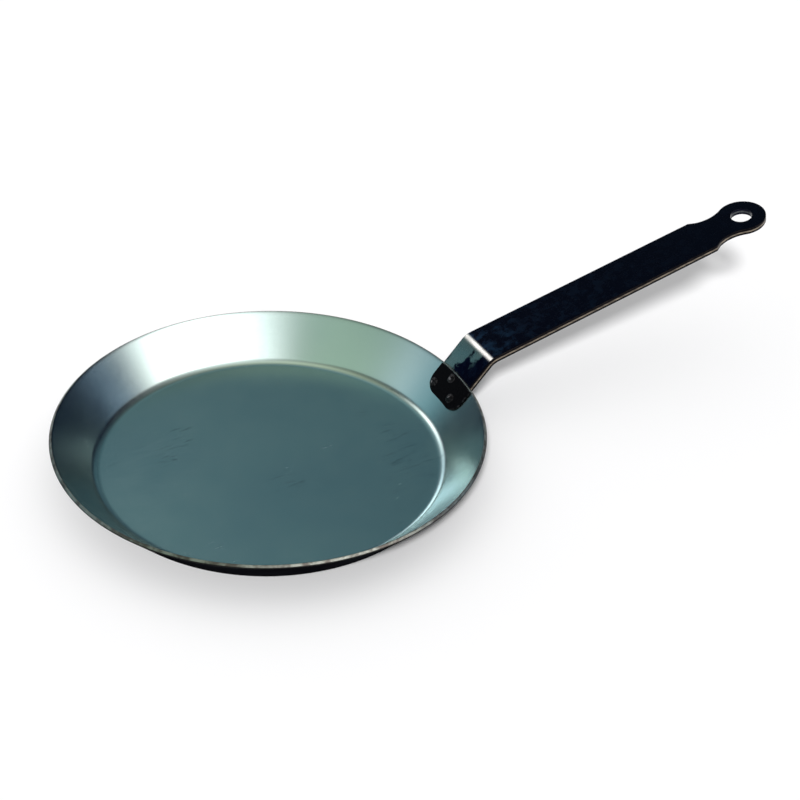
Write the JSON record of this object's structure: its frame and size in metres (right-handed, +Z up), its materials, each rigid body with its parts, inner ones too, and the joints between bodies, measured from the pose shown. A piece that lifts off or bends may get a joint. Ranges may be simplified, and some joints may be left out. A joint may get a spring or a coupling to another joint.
{
  "type": "frying pan",
  "caption": "Shallow round steel frying pan with a flared wall and a long flat riveted handle that ends in an eye for hanging.",
  "frame": {"origin": "centre of the base's underside, where the pan rests", "axes": "+Z up out of the pan's mouth, +X along the handle, away from the bowl"},
  "size_m": [0.4509, 0.24, 0.0872],
  "materials": {
    "pan_steel": "satin, faintly blued",
    "handle_finish": "dark blue-black lacquer with worn, mottled patches",
    "plate_finish": "black",
    "rivet_finish": "black with worn crowns"
  },
  "bodies": {
    "root": {"pan_body": "pan_steel", "handle": "handle_finish", "rivet_plate": "plate_finish", "rivet_upper": "rivet_finish", "rivet_lower_left": "rivet_finish", "rivet_lower_right": "rivet_finish"}
  },
  "joints": []
}
